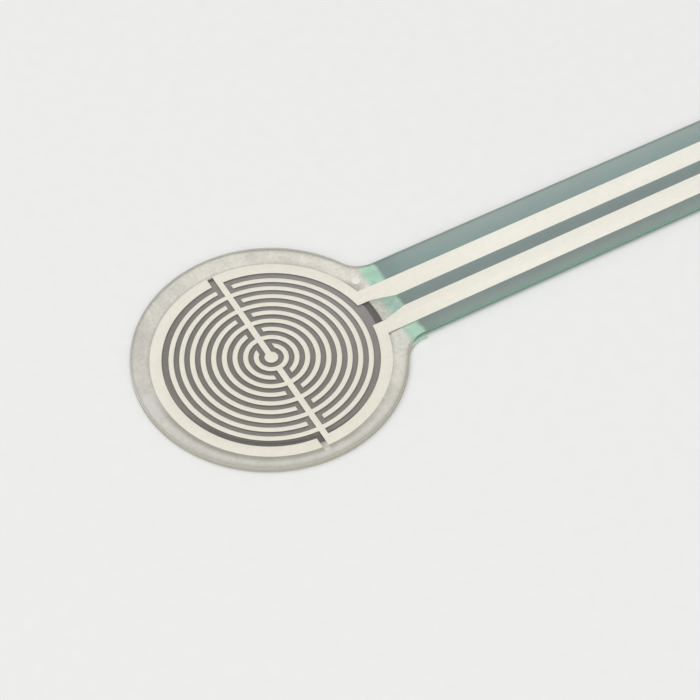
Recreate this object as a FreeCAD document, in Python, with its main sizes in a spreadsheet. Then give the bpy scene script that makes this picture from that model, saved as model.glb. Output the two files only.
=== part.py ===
import FreeCAD, Part
import math
import os
import Sketcher
from FreeCAD import Vector

# Round force sensing resistor with a long flat tail, in millimetres.
# The origin is the middle of the cut disc on its rear face, +X runs along the tail and +Z is up.
# From the rear: bottom film, carbon ink, spacer ring, silver print, top film with the tail.

doc = FreeCAD.newDocument("force_sensing_resistor")
sheet = doc.addObject("Spreadsheet::Sheet", "Sizes")

SIZES = [
    ("dot_dia", 0.91, "silver dot in the middle of the print"),
    ("finger_w", 0.33, "width of a printed finger"),
    ("finger_gap", 0.37, "gap between fingers, and from a finger's end to the other spine"),
    ("finger_count", 9, "rings of fingers between the dot and the rim conductor"),
    ("spine_w", 0.42, "width of the two spines that feed the fingers"),
    ("rim_gap", 0.46, "gap between the last finger and the rim conductor"),
    ("rim_w", 0.79, "width of the rim conductor"),
    ("guard_gap", 0.42, "gap between a spine and the end of the guard arc"),
    ("root_gap", 1.96, "gap between the traces where they leave the rim conductor"),
    ("root_run", 0.10, "straight run of a trace before its inner edge slants"),
    ("root_slant", 1.78, "length over which the inner edge slants"),
    ("trace_w", 1.52, "width of a trace along the tail"),
    ("trace_pitch", 2.54, "distance between the middles of the two traces"),
    ("trace_margin", 0.80, "bare film between the traces' ends and the tail's cut end"),
    ("print_shift", 0.20, "how far the print lies off the cut outline, towards -Y"),
    ("mark_dia", 0.60, "round printed mark beside the upper trace"),
    ("mark_run", 0.10, "middle of the mark past the rim conductor's outer radius, along the tail"),
    ("mark_side", 0.83, "middle of the mark from the upper trace's outer edge, across the tail"),
    ("silver_t", 0.02, "thickness of the silver print"),
    ("bottom_film_t", 0.125, "thickness of the bottom film"),
    ("top_film_t", 0.13, "thickness of the top film"),
    ("spacer_t", 0.145, "thickness of the adhesive spacer"),
    ("seat_gap", 0.05, "gap round the rim conductor in its seat on the spacer"),
    ("spacer_wall", 1.15, "width of the glued rim round the rim conductor's seat"),
    ("rim_overlap", 0.205, "how much smaller the radius of the spacer's opening is than the rim conductor's"),
    ("opening_shift_x", 0.11, "how far the spacer's opening lies off the cut outline, along X"),
    ("opening_shift_y", 0.04, "how far the spacer's opening lies off the cut outline, towards -Y"),
    ("carbon_gap", 0.50, "how much smaller the carbon disc's radius is than the spacer's opening"),
    ("carbon_t", 0.015, "thickness of the carbon ink"),
    ("carbon_shift_x", 0.25, "how far the carbon disc lies off the cut outline, along X"),
    ("carbon_shift_y", 0.10, "how far the carbon disc lies off the cut outline, along Y"),
    ("tail_w", 6.90, "width of the tail"),
    ("tail_len", 37.8, "length of the tail past the disc's edge"),
    ("neck_fillet", 2.00, "radius where the disc runs into the tail"),
    ("tongue_len", 0.70, "how far spacer and bottom film run past the disc's edge"),
    ("tongue_lip", 0.26, "how far that tongue stands out past the tail's edge on the -Y side"),
    ("cover_gap", 0.80, "distance from the rim conductor to the tail's cover coat"),
    ("cover_t", 0.04, "thickness of the cover coat under the tail"),
    ("bare_len", 6.20, "length of the tail's end without cover coat"),
    ("terminal_t", 0.25, "thickness of the terminals' sheet metal"),
    ("crimp_inset", 0.40, "crimp plate from the tail's cut end"),
    ("crimp_len", 4.40, "length of the crimp plate"),
    ("crimp_w", 1.70, "width of the crimp plate"),
    ("prong_len", 0.90, "length of a crimp prong along the tail"),
    ("prong_pitch", 2.20, "distance between the two pairs of prongs"),
    ("prong_count", 2, "pairs of prongs on a terminal"),
    ("prong_end", 0.65, "last prong from the plate's outer end"),
    ("prong_reach", 0.70, "how far a prong is folded in over the film, from the plate's edge"),
    ("prong_bend", 0.18, "rounding of a prong's outer bend"),
    ("slot_gap", 0.04, "clearance round a prong in its slot"),
    ("shoulder_len", 0.50, "length over which the plate narrows to the pin"),
    ("pin_w", 0.64, "width of the solder pin"),
    ("pin_len", 5.50, "length of the pin past the tail's cut end"),
    ("tip_len", 0.60, "length of the pin's tapered tip"),
    ("tip_w", 0.30, "width of the pin's tip"),
]
for row, (alias, number, note) in enumerate(SIZES, start=1):
    sheet.set(f"A{row}", note)
    sheet.set(f"B{row}", str(number))
    sheet.setAlias(f"B{row}", alias)
doc.recompute()

# Places that follow from the sizes, as expressions on the sheet.
DOT_R = "Sizes.dot_dia / 2"
PITCH = "(Sizes.finger_w + Sizes.finger_gap)"
FINGER_END = "(Sizes.spine_w / 2 + Sizes.finger_gap)"
FIRST_INNER = f"({DOT_R} + Sizes.finger_gap)"
LAST_OUTER = f"({FIRST_INNER} + (Sizes.finger_count - 1) * {PITCH} + Sizes.finger_w)"
RIM_INNER = f"({LAST_OUTER} + Sizes.rim_gap)"
RIM_OUTER = f"({RIM_INNER} + Sizes.rim_w)"
SEAT_R = f"({RIM_OUTER} + Sizes.seat_gap)"
OPENING_R = f"({RIM_OUTER} - Sizes.rim_overlap)"
DISC_R = f"({SEAT_R} + Sizes.spacer_wall)"
TONGUE_END = f"({DISC_R} + Sizes.tongue_len)"
TAIL_END = f"({DISC_R} + Sizes.tail_len)"
COVER_START = f"({RIM_OUTER} + Sizes.cover_gap)"
COVER_END = f"({TAIL_END} - Sizes.bare_len)"
TRACE_END = f"({TAIL_END} - Sizes.trace_margin)"
TRACE_OUTSIDE = "(Sizes.trace_pitch / 2 + Sizes.trace_w / 2)"
TRACE_INSIDE = "(Sizes.trace_pitch / 2 - Sizes.trace_w / 2)"
ROOT = "Sizes.root_gap / 2"
SLANT_START = f"({RIM_OUTER} + Sizes.root_run)"
SLANT_END = f"({SLANT_START} + Sizes.root_slant)"
MARK_X = f"({RIM_OUTER} + Sizes.mark_run)"
MARK_Y = f"({TRACE_OUTSIDE} + Sizes.mark_side)"
SPACER_Z = "Sizes.bottom_film_t"
FILM_Z = "(Sizes.bottom_film_t + Sizes.spacer_t)"
SILVER_Z = f"({FILM_Z} - Sizes.silver_t)"
COVER_Z = f"({FILM_Z} - Sizes.cover_t)"
TERMINAL_Z = f"({SILVER_Z} - Sizes.terminal_t)"
CRIMP_OUT = "Sizes.crimp_inset"
CRIMP_IN = "(Sizes.crimp_inset + Sizes.crimp_len)"
PRONG_MID = "(Sizes.crimp_inset + Sizes.prong_end + Sizes.prong_len / 2)"


def value_of(expression):
    """The number that an expression on the sheet gives now."""
    return float(sheet.evalExpression(expression))


def new_body(label, x="0", y="0", z="0"):
    """An empty body whose place follows the sheet."""
    body = doc.addObject("PartDesign::Body", label)
    body.Label = label
    for axis, expression in (("x", x), ("y", y), ("z", z)):
        if expression != "0":
            body.setExpression(f"Placement.Base.{axis}", expression)
    return body


def new_sketch(body, name, role="XY_Plane"):
    """An empty sketch on one of the body's own planes."""
    sketch = body.newObject("Sketcher::SketchObject", name)
    plane = next(item for item in body.Origin.OriginFeatures if item.Role == role)
    sketch.AttachmentSupport = [(plane, "")]
    sketch.MapMode = "FlatFace"
    return sketch


def size(sketch, name, expression, kind, *where):
    """One dimension of the sketch, tied to the sheet. A dimension of nothing puts the point on its axis."""
    number = value_of(expression)
    if kind in ("DistanceX", "DistanceY") and abs(number) < 1e-9:
        axis = -2 if kind == "DistanceX" else -1
        sketch.addConstraint(Sketcher.Constraint("PointOnObject", where[2], where[3], axis))
        return
    index = sketch.addConstraint(Sketcher.Constraint(kind, *where, number))
    sketch.renameConstraint(index, name)
    sketch.setExpression(f"Constraints.{name}", expression)


def outline(sketch, name, corners, arcs=None):
    """Closed outline through the corners, in order. A coordinate given as text is a dimension, and one
    given as a number is where the solver starts. arcs maps an edge, by the corner it leaves, to the radius
    of its arc about the sketch's origin and True where it runs counterclockwise."""
    arcs = arcs or {}
    spots = [[value_of(c) if isinstance(c, str) else c for c in corner] for corner in corners]
    edges = []
    for at, spot in enumerate(spots):
        after = spots[(at + 1) % len(spots)]
        if at in arcs:
            radius, forward = arcs[at]
            first, last = (spot, after) if forward else (after, spot)
            start = math.atan2(first[1], first[0])
            end = math.atan2(last[1], last[0])
            while end <= start:
                end += 2 * math.pi
            circle = Part.Circle(Vector(0, 0, 0), Vector(0, 0, 1), value_of(radius))
            edge = sketch.addGeometry(Part.ArcOfCircle(circle, start, end), False)
            edges.append((edge, 1, 2) if forward else (edge, 2, 1))
        else:
            line = Part.LineSegment(Vector(*spot, 0), Vector(*after, 0))
            edges.append((sketch.addGeometry(line, False), 1, 2))
    for at, (edge, _, end) in enumerate(edges):
        following, start, _ = edges[(at + 1) % len(edges)]
        sketch.addConstraint(Sketcher.Constraint("Coincident", edge, end, following, start))
        if at in arcs:
            sketch.addConstraint(Sketcher.Constraint("Coincident", edge, 3, -1, 1))
            size(sketch, f"{name}_radius{at}", arcs[at][0], "Radius", edge)
    for at, (x, y) in enumerate(corners):
        edge, start, _ = edges[at]
        if isinstance(x, str):
            size(sketch, f"{name}_x{at}", x, "DistanceX", -1, 1, edge, start)
        if isinstance(y, str):
            size(sketch, f"{name}_y{at}", y, "DistanceY", -1, 1, edge, start)


def rectangle(sketch, name, x0, x1, y0, y1):
    outline(sketch, name, [(x0, y0), (x1, y0), (x1, y1), (x0, y1)])


def circle(sketch, name, diameter, x="0", y="0"):
    spot = Vector(value_of(x), value_of(y), 0)
    edge = sketch.addGeometry(Part.Circle(spot, Vector(0, 0, 1), value_of(diameter) / 2), False)
    size(sketch, f"{name}_dia", diameter, "Diameter", edge)
    size(sketch, f"{name}_x", x, "DistanceX", -1, 1, edge, 3)
    size(sketch, f"{name}_y", y, "DistanceY", -1, 1, edge, 3)


def pad(body, sketch, name, length, midplane=False):
    feature = body.newObject("PartDesign::Pad", name)
    feature.Profile = sketch
    feature.Midplane = midplane
    feature.Length = value_of(length)
    feature.setExpression("Length", length)
    body.Tip = feature
    doc.recompute()
    return feature


def pocket(body, sketch, name, length, upward=True):
    """Cuts from the sketch's plane, upwards unless told otherwise, and makes sure that it took material."""
    before = body.Shape.Volume
    feature = body.newObject("PartDesign::Pocket", name)
    feature.Profile = sketch
    feature.Reversed = upward
    feature.Length = value_of(length)
    feature.setExpression("Length", length)
    body.Tip = feature
    doc.recompute()
    if not body.Shape.Volume < before:
        raise RuntimeError(f"{body.Label}: {name} cuts nothing")
    return feature


def film_sketch(body, name, end, lip="0"):
    """The cut outline of a layer: the disc, its two concave fillets and the tail up to end. The tail's part
    is wider by lip on the -Y side."""
    sketch = new_sketch(body, name)
    radius = value_of(DISC_R)
    fillet = value_of("Sizes.neck_fillet")
    stop = value_of(end)
    high = value_of("Sizes.tail_w") / 2
    low = -high - value_of(lip)
    high_along = math.sqrt((radius + fillet) ** 2 - (high + fillet) ** 2)
    low_along = math.sqrt((radius + fillet) ** 2 - (low - fillet) ** 2)
    start = math.atan2(high + fillet, high_along)
    finish = math.atan2(low - fillet, low_along) + 2 * math.pi
    up = Vector(0, 0, 1)
    over = Part.Circle(Vector(high_along, high + fillet, 0), up, fillet)
    under = Part.Circle(Vector(low_along, low - fillet, 0), up, fillet)
    pieces = [
        Part.ArcOfCircle(Part.Circle(Vector(0, 0, 0), up, radius), start, finish),
        Part.ArcOfCircle(over, math.pi + start, 1.5 * math.pi),
        Part.LineSegment(Vector(high_along, high, 0), Vector(stop, high, 0)),
        Part.LineSegment(Vector(stop, high, 0), Vector(stop, low, 0)),
        Part.LineSegment(Vector(stop, low, 0), Vector(low_along, low, 0)),
        Part.ArcOfCircle(under, 0.5 * math.pi, finish - math.pi),
    ]
    disc, upper, top, stop_line, bottom, lower = [sketch.addGeometry(piece, False) for piece in pieces]
    for constraint in (
        ("Coincident", disc, 3, -1, 1),
        ("Tangent", disc, 1, upper, 1),
        ("Tangent", upper, 2, top, 1),
        ("Coincident", top, 2, stop_line, 1),
        ("Coincident", stop_line, 2, bottom, 1),
        ("Tangent", bottom, 2, lower, 1),
        ("Tangent", lower, 2, disc, 2),
        ("Horizontal", top),
        ("Horizontal", bottom),
        ("Vertical", stop_line),
        ("Equal", upper, lower),
    ):
        sketch.addConstraint(Sketcher.Constraint(*constraint))
    size(sketch, "disc_radius", DISC_R, "Radius", disc)
    size(sketch, "fillet_radius", "Sizes.neck_fillet", "Radius", upper)
    size(sketch, "tail_high", "Sizes.tail_w / 2", "DistanceY", -1, 1, stop_line, 1)
    size(sketch, "tail_low", f"Sizes.tail_w / 2 + {lip}", "DistanceY", stop_line, 2, -1, 1)
    size(sketch, "end_x", end, "DistanceX", -1, 1, top, 2)
    return sketch


def on_circle(radius, x):
    """How far from the X axis a circle about the origin is at x."""
    return math.sqrt(value_of(radius) ** 2 - value_of(x) ** 2)


def ring_edges(number):
    """Inner and outer radius of a ring of fingers, where the first one lies round the dot."""
    inner = f"({FIRST_INNER} + {number - 1} * {PITCH})"
    return inner, f"({inner} + Sizes.finger_w)"


def finger_ring(sketch, number, side):
    """One ring of fingers: almost a full circle, open at the top where side is 1 and at the bottom where
    side is -1, with its two ends cut straight beside the other electrode's spine."""
    inner, outer = ring_edges(number)
    near, far = side * on_circle(inner, FINGER_END), side * on_circle(outer, FINGER_END)
    corners = [
        (f"-{FINGER_END}", far),
        (FINGER_END, far),
        (FINGER_END, near),
        (f"-{FINGER_END}", near),
    ]
    outline(sketch, f"ring{number}", corners, {0: (outer, side > 0), 2: (inner, side < 0)})


def spine(body, side, start):
    """The straight feed from start out to the rim conductor, upwards where side is 1."""
    sketch = new_sketch(body, "SpineSketch")
    y0, y1 = f"{side} * {start}", f"{side} * ({RIM_INNER} + Sizes.rim_w / 2)"
    rectangle(sketch, "spine", "-Sizes.spine_w / 2", "Sizes.spine_w / 2", y0, y1)
    pad(body, sketch, "Spine", "Sizes.silver_t")


def feed(body, side):
    """The rim conductor's quarter beside the tail and the trace that runs on from it."""
    sketch = new_sketch(body, "FeedSketch")
    left = "-Sizes.spine_w / 2"
    corners = [
        (left, side * on_circle(RIM_OUTER, left)),
        (on_circle(RIM_OUTER, TRACE_OUTSIDE), f"{side} * {TRACE_OUTSIDE}"),
        (TRACE_END, f"{side} * {TRACE_OUTSIDE}"),
        (TRACE_END, f"{side} * {TRACE_INSIDE}"),
        (SLANT_END, f"{side} * {TRACE_INSIDE}"),
        (SLANT_START, f"{side} * {ROOT}"),
        (on_circle(RIM_INNER, ROOT), f"{side} * {ROOT}"),
        (left, side * on_circle(RIM_INNER, left)),
    ]
    outline(sketch, "feed", corners, {0: (RIM_OUTER, side < 0), 6: (RIM_INNER, side > 0)})
    pad(body, sketch, "Feed", "Sizes.silver_t")


def print_seat(body, name, height, end):
    """Sketch of the two traces, from the rim conductor to end, at a height in a layer they press into."""
    sketch = new_sketch(body, name)
    sketch.AttachmentOffset = FreeCAD.Placement(Vector(0, 0, 1), FreeCAD.Rotation())
    sketch.setExpression("AttachmentOffset.Base.y", "-Sizes.print_shift")
    sketch.setExpression("AttachmentOffset.Base.z", height)
    for side, tag in ((1, "upper"), (-1, "lower")):
        corners = [
            (RIM_INNER, f"{side} * {TRACE_OUTSIDE}"),
            (end, f"{side} * {TRACE_OUTSIDE}"),
            (end, f"{side} * {TRACE_INSIDE}"),
            (SLANT_END, f"{side} * {TRACE_INSIDE}"),
            (SLANT_START, f"{side} * {ROOT}"),
            (RIM_INNER, f"{side} * {ROOT}"),
        ]
        outline(sketch, tag, corners)
    return sketch


def prong_slots(body, name, depth, middle_y):
    """Slots for the prongs of one terminal, cut up through a layer from its underside."""
    sketch = new_sketch(body, f"{name}Sketch")
    edge = "Sizes.crimp_w / 2"
    for pair in range(int(value_of("Sizes.prong_count"))):
        middle = f"({TAIL_END} - {PRONG_MID} - {pair} * Sizes.prong_pitch)"
        x0 = f"{middle} - Sizes.prong_len / 2 - Sizes.slot_gap"
        x1 = f"{middle} + Sizes.prong_len / 2 + Sizes.slot_gap"
        for way, tag in ((1, "up"), (-1, "down")):
            reach_in = f"{middle_y} + {way} * ({edge} - Sizes.terminal_t - Sizes.slot_gap)"
            reach_out = f"{middle_y} + {way} * ({edge} + Sizes.slot_gap)"
            rectangle(sketch, f"slot{pair}{tag}", x0, x1, reach_in, reach_out)
    pocket(body, sketch, name, depth)


def bottom_film():
    """Clear film at the back: the disc and a short tongue under the neck."""
    body = new_body("bottom_film")
    pad(body, film_sketch(body, "FilmSketch", TONGUE_END, "Sizes.tongue_lip"), "Film", "Sizes.bottom_film_t")
    return body


def carbon_layer():
    """Force-sensing carbon ink, printed on the bottom film as one disc."""
    body = new_body("carbon_layer", "Sizes.carbon_shift_x", "Sizes.carbon_shift_y", SPACER_Z)
    sketch = new_sketch(body, "InkSketch")
    circle(sketch, "ink", f"2 * ({OPENING_R} - Sizes.carbon_gap)")
    pad(body, sketch, "Ink", "Sizes.carbon_t")
    return body


def spacer_ring():
    """Adhesive spacer: glues the films together round the rim and under the neck, and keeps the print off
    the carbon. The silver rim, traces and mark and the cover coat are pressed into its upper face."""
    body = new_body("spacer_ring", z=SPACER_Z)
    pad(body, film_sketch(body, "RingSketch", TONGUE_END, "Sizes.tongue_lip"), "Ring", "Sizes.spacer_t")
    past_end = f"({TONGUE_END} + 1)"
    opening = new_sketch(body, "OpeningSketch")
    circle(opening, "opening", f"2 * {OPENING_R}", "Sizes.opening_shift_x", "-Sizes.opening_shift_y")
    pocket(body, opening, "Opening", "Sizes.spacer_t")

    ledge = new_sketch(body, "RimSeatSketch")
    ledge.AttachmentOffset = FreeCAD.Placement(Vector(0, 0, 1), FreeCAD.Rotation())
    ledge.setExpression("AttachmentOffset.Base.z", "Sizes.spacer_t - Sizes.silver_t")
    circle(ledge, "ledge", f"2 * {SEAT_R}", y="-Sizes.print_shift")
    pocket(body, ledge, "RimSeat", "Sizes.silver_t")

    seat = print_seat(body, "PrintSeatSketch", "Sizes.spacer_t - Sizes.silver_t", past_end)
    circle(seat, "mark", "Sizes.mark_dia", MARK_X, MARK_Y)
    pocket(body, seat, "PrintSeat", "Sizes.silver_t")

    step = new_sketch(body, "CoverSeatSketch")
    step.AttachmentOffset = FreeCAD.Placement(Vector(0, 0, 1), FreeCAD.Rotation())
    step.setExpression("AttachmentOffset.Base.z", "Sizes.spacer_t - Sizes.cover_t")
    rectangle(step, "cover", COVER_START, past_end, f"-{DISC_R}", DISC_R)
    pocket(body, step, "CoverSeat", "Sizes.cover_t")
    return body


def upper_electrode():
    """Silver print joined to the trace on the +Y side: dot, spine, every second ring and rim quarter."""
    body = new_body("upper_electrode", y="-Sizes.print_shift", z=SILVER_Z)
    spine(body, 1, "Sizes.dot_dia / 4")
    dot = new_sketch(body, "DotSketch")
    circle(dot, "dot", "Sizes.dot_dia")
    pad(body, dot, "Dot", "Sizes.silver_t")
    fingers = new_sketch(body, "FingerSketch")
    for number in range(2, int(value_of("Sizes.finger_count")) + 1, 2):
        finger_ring(fingers, number, -1)
    pad(body, fingers, "Fingers", "Sizes.silver_t")
    feed(body, 1)
    prong_slots(body, "ProngSlots", "Sizes.silver_t", "Sizes.trace_pitch / 2")
    return body


def lower_electrode():
    """Silver print joined to the trace on the -Y side: spine, the other rings and rim quarter."""
    body = new_body("lower_electrode", y="-Sizes.print_shift", z=SILVER_Z)
    spine(body, -1, f"({FIRST_INNER} + Sizes.finger_w / 2)")
    fingers = new_sketch(body, "FingerSketch")
    for number in range(1, int(value_of("Sizes.finger_count")) + 1, 2):
        finger_ring(fingers, number, 1)
    pad(body, fingers, "Fingers", "Sizes.silver_t")
    feed(body, -1)
    prong_slots(body, "ProngSlots", "Sizes.silver_t", "-Sizes.trace_pitch / 2")
    return body


def guard_arc():
    """The rim conductor's half away from the tail, joined to neither electrode."""
    body = new_body("guard_arc", y="-Sizes.print_shift", z=SILVER_Z)
    sketch = new_sketch(body, "ArcSketch")
    cut = "-(Sizes.spine_w / 2 + Sizes.guard_gap)"
    near, far = on_circle(RIM_INNER, cut), on_circle(RIM_OUTER, cut)
    corners = [(cut, far), (cut, -far), (cut, -near), (cut, near)]
    outline(sketch, "guard", corners, {0: (RIM_OUTER, True), 2: (RIM_INNER, False)})
    pad(body, sketch, "Arc", "Sizes.silver_t")
    return body


def print_mark():
    """Round silver mark, printed beside the upper trace's root."""
    body = new_body("print_mark", y="-Sizes.print_shift", z=SILVER_Z)
    sketch = new_sketch(body, "MarkSketch")
    circle(sketch, "mark", "Sizes.mark_dia", MARK_X, MARK_Y)
    pad(body, sketch, "Mark", "Sizes.silver_t")
    return body


def tail_cover():
    """Insulating cover coat under the tail, over the traces, from the neck to the bare contact end."""
    body = new_body("tail_cover", z=COVER_Z)
    pad(body, film_sketch(body, "CoatSketch", COVER_END), "Coat", "Sizes.cover_t")
    clear = new_sketch(body, "DiscClearSketch")
    rectangle(clear, "clear", f"-{DISC_R} - 1", COVER_START, f"-{DISC_R} - 1", f"{DISC_R} + 1")
    pocket(body, clear, "DiscClear", "Sizes.cover_t")

    seat = print_seat(body, "TraceSeatSketch", "Sizes.cover_t - Sizes.silver_t", f"({TAIL_END} + 1)")
    pocket(body, seat, "TraceSeat", "Sizes.silver_t")
    return body


def top_film():
    """Clear film that carries the print on its underside: the disc and the whole tail in one piece, slotted
    for the terminals' prongs."""
    body = new_body("top_film", z=FILM_Z)
    pad(body, film_sketch(body, "FilmSketch", TAIL_END), "Film", "Sizes.top_film_t")
    prong_slots(body, "UpperSlots", "Sizes.top_film_t", "Sizes.trace_pitch / 2 - Sizes.print_shift")
    prong_slots(body, "LowerSlots", "Sizes.top_film_t", "-Sizes.trace_pitch / 2 - Sizes.print_shift")
    return body


def terminal(label, side):
    """Solder terminal of sheet metal: a plate under one trace's end, a straight pin past the tail's end, and
    prongs that go up through the film and are folded in over it."""
    middle_y = f"{side} * Sizes.trace_pitch / 2 - Sizes.print_shift"
    body = new_body(label, TAIL_END, middle_y, TERMINAL_Z)
    blank = new_sketch(body, "BlankSketch")
    shoulder = f"(Sizes.shoulder_len - {CRIMP_OUT})"
    upper = [
        (f"-{CRIMP_IN}", "Sizes.crimp_w / 2"),
        (f"-{CRIMP_OUT}", "Sizes.crimp_w / 2"),
        (shoulder, "Sizes.pin_w / 2"),
        ("Sizes.pin_len - Sizes.tip_len", "Sizes.pin_w / 2"),
        ("Sizes.pin_len", "Sizes.tip_w / 2"),
    ]
    lower = [(x, f"-{y}") for x, y in reversed(upper)]
    outline(blank, "blank", upper + lower)
    pad(body, blank, "Blank", "Sizes.terminal_t")

    fold = new_sketch(body, "ProngSketch", "YZ_Plane")
    fold.AttachmentOffset = FreeCAD.Placement(Vector(0, 0, -1), FreeCAD.Rotation())
    fold.setExpression("AttachmentOffset.Base.z", f"-{PRONG_MID}")
    edge = "Sizes.crimp_w / 2"
    seat = "(Sizes.terminal_t + Sizes.silver_t + Sizes.top_film_t)"
    for way, tag in ((1, "left"), (-1, "right")):
        corners = [
            (f"{way} * {edge}", "Sizes.terminal_t / 2"),
            (f"{way} * {edge}", f"{seat} + Sizes.terminal_t"),
            (f"{way} * ({edge} - Sizes.prong_reach)", f"{seat} + Sizes.terminal_t"),
            (f"{way} * ({edge} - Sizes.prong_reach)", seat),
            (f"{way} * ({edge} - Sizes.terminal_t)", seat),
            (f"{way} * ({edge} - Sizes.terminal_t)", "Sizes.terminal_t / 2"),
        ]
        outline(fold, tag, corners)
    prongs = pad(body, fold, "Prongs", "Sizes.prong_len", midplane=True)

    pattern = body.newObject("PartDesign::LinearPattern", "ProngPairs")
    pattern.Originals = [prongs]
    pattern.Direction = (next(item for item in body.Origin.OriginFeatures if item.Role == "X_Axis"), [""])
    pattern.Reversed = True
    pattern.Length = value_of("Sizes.prong_pitch * (Sizes.prong_count - 1)")
    pattern.setExpression("Length", "Sizes.prong_pitch * (Sizes.prong_count - 1)")
    pattern.Occurrences = int(value_of("Sizes.prong_count"))
    pattern.setExpression("Occurrences", "Sizes.prong_count")
    body.Tip = pattern
    doc.recompute()

    top = value_of(f"{seat} + Sizes.terminal_t")
    side_y = value_of(edge)
    bends = []
    for number, line in enumerate(pattern.Shape.Edges, start=1):
        middle = line.BoundBox.Center
        along_x = line.BoundBox.YLength < 1e-6 and line.BoundBox.ZLength < 1e-6
        if along_x and abs(abs(middle.y) - side_y) < 1e-6 and abs(middle.z - top) < 1e-6:
            bends.append(f"Edge{number}")
    rounding = body.newObject("PartDesign::Fillet", "Bends")
    rounding.Base = (pattern, bends)
    rounding.Radius = value_of("Sizes.prong_bend")
    rounding.setExpression("Radius", "Sizes.prong_bend")
    body.Tip = rounding
    doc.recompute()
    return body


parts = [
    bottom_film(),
    carbon_layer(),
    spacer_ring(),
    upper_electrode(),
    lower_electrode(),
    guard_arc(),
    print_mark(),
    tail_cover(),
    top_film(),
    terminal("upper_terminal", 1),
    terminal("lower_terminal", -1),
]
doc.recompute()

for item in doc.Objects:
    if "Invalid" in item.State or "Error" in item.State:
        raise RuntimeError(f"{item.Label} did not compute: {item.State}")
for part in parts:
    if part.Shape.isNull() or not part.Shape.isValid() or len(part.Shape.Solids) != 1:
        raise RuntimeError(f"{part.Label} is not one valid solid")

os.makedirs("parts", exist_ok=True)
for part in parts:
    part.Shape.exportStep(f"parts/{part.Label}.step")
    box = part.Shape.BoundBox
    print(
        f"{part.Label:16s} x {box.XMin:7.3f} {box.XMax:7.3f}  y {box.YMin:7.3f} {box.YMax:7.3f}"
        f"  z {box.ZMin:6.3f} {box.ZMax:6.3f}  volume {part.Shape.Volume:9.4f}"
    )
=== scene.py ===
from math import acos, asin, atan2, ceil, cos, degrees, pi, radians, sin, sqrt

import bmesh
import bpy
from mathutils import Matrix, Vector


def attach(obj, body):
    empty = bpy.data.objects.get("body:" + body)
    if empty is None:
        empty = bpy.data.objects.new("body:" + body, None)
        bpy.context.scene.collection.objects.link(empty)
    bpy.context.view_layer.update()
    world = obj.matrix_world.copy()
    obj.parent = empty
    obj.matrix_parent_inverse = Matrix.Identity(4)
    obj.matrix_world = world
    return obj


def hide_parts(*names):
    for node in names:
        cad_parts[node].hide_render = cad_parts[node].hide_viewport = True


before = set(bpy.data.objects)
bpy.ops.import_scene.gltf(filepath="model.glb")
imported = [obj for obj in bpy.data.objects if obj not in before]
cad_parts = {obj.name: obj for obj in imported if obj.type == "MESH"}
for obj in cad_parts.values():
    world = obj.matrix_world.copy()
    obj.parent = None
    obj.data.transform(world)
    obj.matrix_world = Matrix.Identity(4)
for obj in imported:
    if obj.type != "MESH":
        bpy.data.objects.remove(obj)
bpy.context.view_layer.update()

MM = 0.001

# The print, in millimetres. Its middle lies a little off the middle of the cut outline.
PRINT_Y = -0.20
DOT_R = 0.455
FINGER_W = 0.33
FINGER_PITCH = 0.70
FIRST_FINGER = 0.825
FINGER_END = 0.58
UPPER_RINGS = 4
LOWER_RINGS = 5
SPINE_HALF = 0.21
RIM_IN = 7.215
RIM_OUT = 8.005
GUARD_END = 0.63
ROOT_HALF = 0.98
ROOT_X = 8.105
SLANT_X = 9.885
TRACE_IN = 0.51
TRACE_OUT = 2.03
TRACE_X = 46.205
MARK = (8.105, 2.92)
MARK_R = 0.30

# The layers' outline and heights, in millimetres.
DISC_R = 9.205
TAIL_HALF = 3.45
NECK_R = 2.00
TONGUE_X = 9.905
TONGUE_LIP = 0.26
TAIL_X = 47.005
OPENING = (0.11, -0.04)
OPENING_R = 7.80
BACK_Z = (0.0, 0.1245)
SPACER_Z = (0.125, 0.2695)
SILVER_Z = (0.25, 0.27)
FACE_Z = (0.272, 0.40)

# The finer points of the layers, in millimetres: their soft edges, how far the spacer is drawn in, the
# tongue's rounded corners, and how much further out the opening runs between the two traces.
INK_EDGE = 0.006
FILM_EDGE = 0.012
SPACER_EDGE = 0.010
SPACER_INSET = 0.02
TONGUE_CORNER = 0.05
NECK_BULGE = 0.11

# The slots in the top film that the terminals' prongs come up through, in millimetres.
TRACE_MIDDLE = 1.27
SLOT_END = 1.5
SLOT_PITCH = 2.2
SLOT_HALF = 0.49
SLOT_GAP = 0.04
PLATE_EDGE = 0.85
PLATE_T = 0.25

# Degrees between the points of a long arc.
ARC_STEP = 1.5

# The level direction on the part, as x and y, of its side that is nearest in the photograph.
FRONTWARD = (-0.46, -0.887)


def paint_tone(red, green, blue):
    """A colour as it is seen on a screen, turned into the light that a shader works with."""
    def light(value):
        value = value / 255
        return value / 12.92 if value <= 0.04045 else ((value + 0.055) / 1.055) ** 2.4
    return (light(red), light(green), light(blue), 1.0)


def put(tree, kind, values=None, **settings):
    """A node in a tree, with its inputs given as numbers, colours or the outputs of other nodes."""
    node = tree.nodes.new(kind)
    for key, value in settings.items():
        setattr(node, key, value)
    for key, value in (values or {}).items():
        socket = node.inputs[key]
        if isinstance(value, bpy.types.NodeSocket):
            tree.links.new(value, socket)
        else:
            socket.default_value = value
    return node


def sum_of(tree, operation, first, second=0.0, third=0.0, clamp=False):
    """The result of one step of arithmetic between node outputs and numbers."""
    values = {0: first, 1: second}
    if operation == "MULTIPLY_ADD":
        values[2] = third
    return put(tree, "ShaderNodeMath", values, operation=operation, use_clamp=clamp).outputs[0]


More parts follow.
